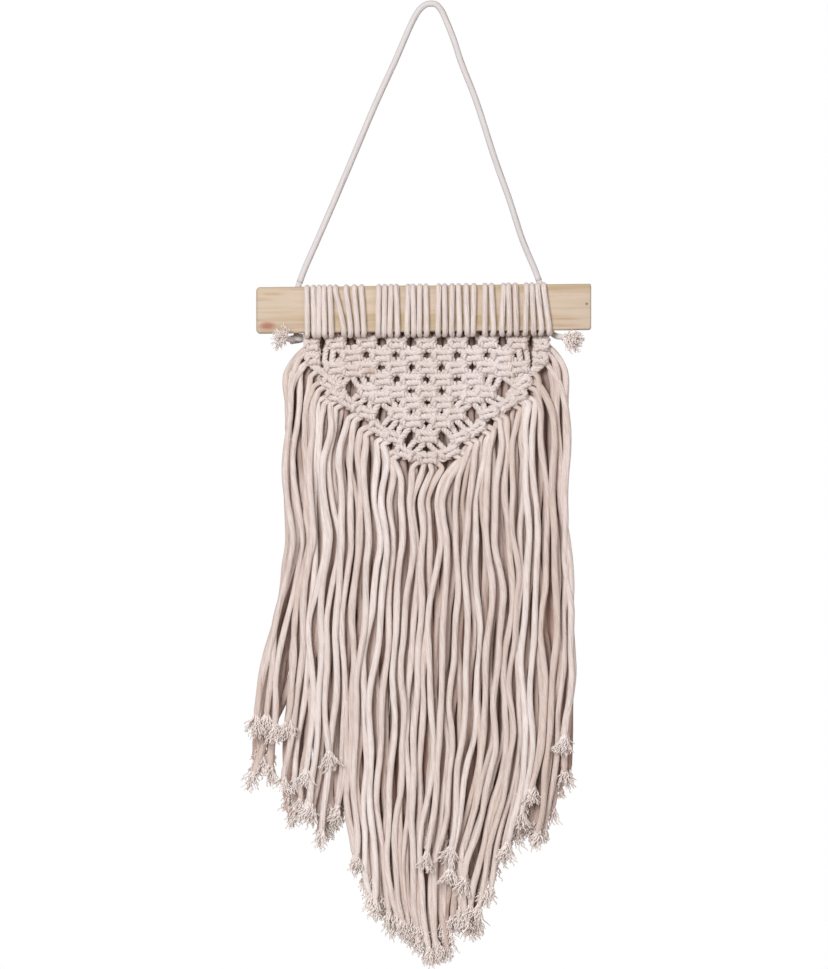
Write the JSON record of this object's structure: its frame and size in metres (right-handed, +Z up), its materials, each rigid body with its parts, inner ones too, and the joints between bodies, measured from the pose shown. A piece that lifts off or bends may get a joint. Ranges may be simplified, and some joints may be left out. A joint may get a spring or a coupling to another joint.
{
  "type": "macrame wall hanging on a wooden batten",
  "caption": "Knotted cotton wall hanging with a V-shaped lower border and a long two-layer fringe, hitched over a flat wooden batten that hangs from one cord.",
  "frame": {"origin": "the underside of the hanging cord at its top, where a hook or nail carries it", "axes": "+Z up, +X to the right seen from the front, and the front faces -Y with the wall on the +Y side"},
  "size_m": [0.2245, 0.0234, 0.6443],
  "materials": {
    "pine": "sawn and unvarnished, pale, with fine grain",
    "cotton_hanger": "matte cotton cord",
    "cotton_knots": "matte cotton cord, knotted",
    "cotton_fringe": "matte cotton cord with frayed ends"
  },
  "bodies": {
    "root": {"batten": "pine", "hanger_cord": "cotton_hanger", "hanger_tie_left": "cotton_hanger", "hanger_tie_right": "cotton_hanger", "macrame_panel": "cotton_knots", "fringe_front": "cotton_fringe", "fringe_back": "cotton_fringe"}
  },
  "joints": []
}
